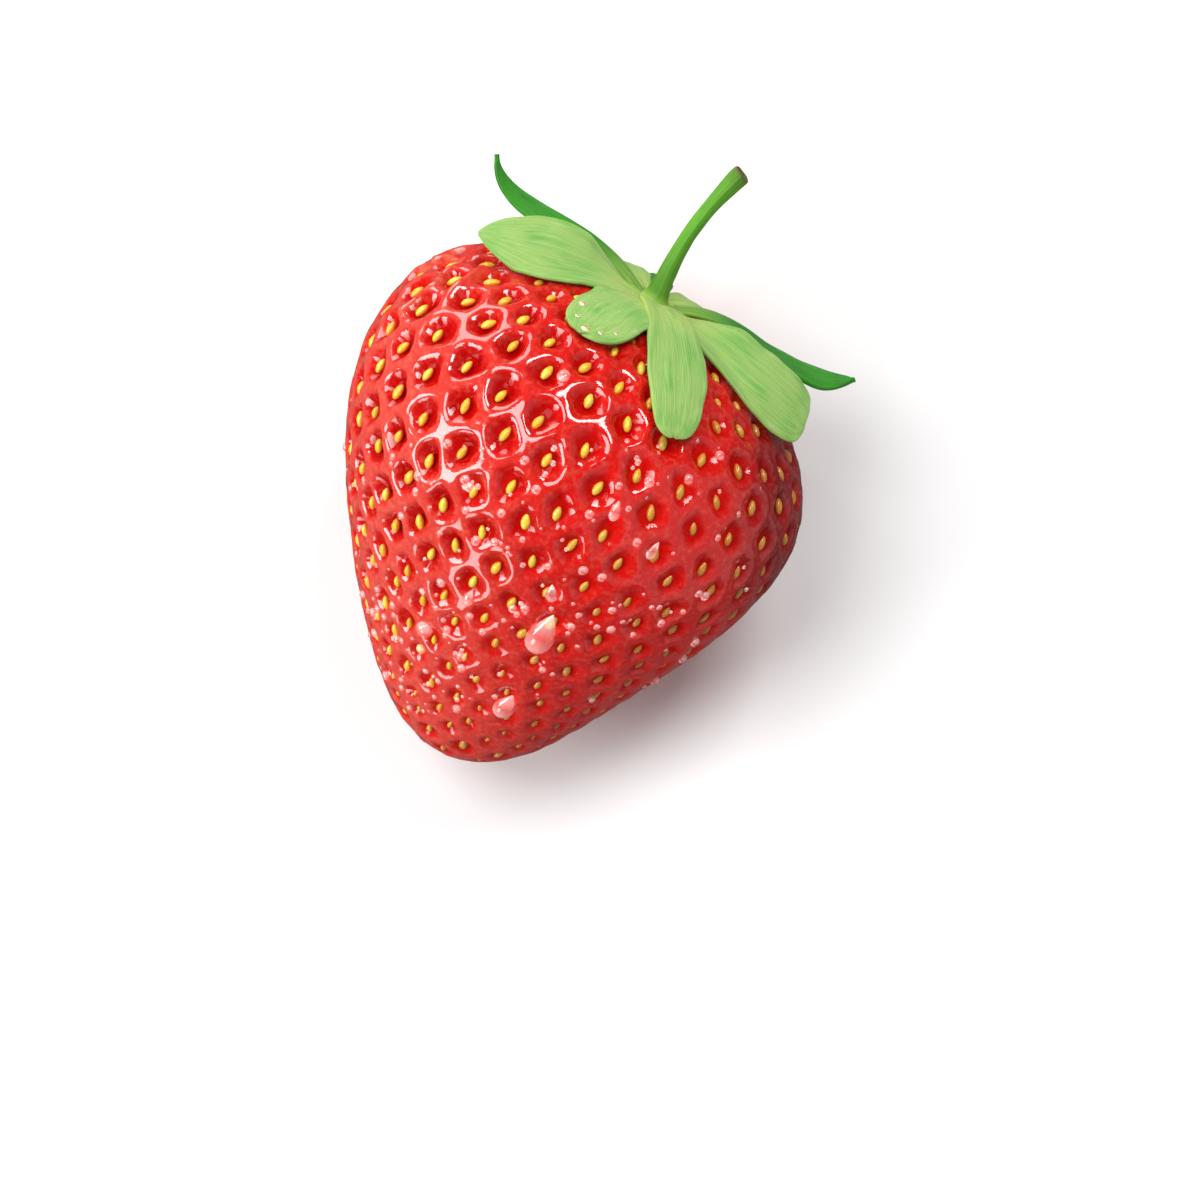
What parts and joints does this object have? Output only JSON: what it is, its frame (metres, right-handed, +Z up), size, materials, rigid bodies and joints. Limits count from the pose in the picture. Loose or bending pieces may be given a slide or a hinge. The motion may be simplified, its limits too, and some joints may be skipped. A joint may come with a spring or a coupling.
{
  "type": "strawberry",
  "caption": "Ripe garden strawberry lying on its side, with raised pips in pits, a calyx of sepals and bracts, and a short cut stalk.",
  "frame": {"origin": "on the surface that the fruit lies on, below the middle of the whole part's bounding box", "axes": "+Y from the tip of the fruit towards its calyx, +Z up, +X to the right seen from the tip"},
  "size_m": [0.042, 0.0575, 0.0377],
  "materials": {
    "flesh": "wet-looking skin",
    "sepal": "matt leaf",
    "bract": "matt leaf",
    "stalk": "satin, ribbed"
  },
  "bodies": {
    "root": {"berry": "flesh", "stalk": "stalk", "sepal_left": "sepal", "sepal_front": "sepal", "sepal_right": "sepal", "sepal_back_right": "sepal", "sepal_back_left": "sepal", "bract_front": "sepal", "bract_left": "bract", "bract_back": "bract", "bract_right": "bract"}
  },
  "joints": []
}
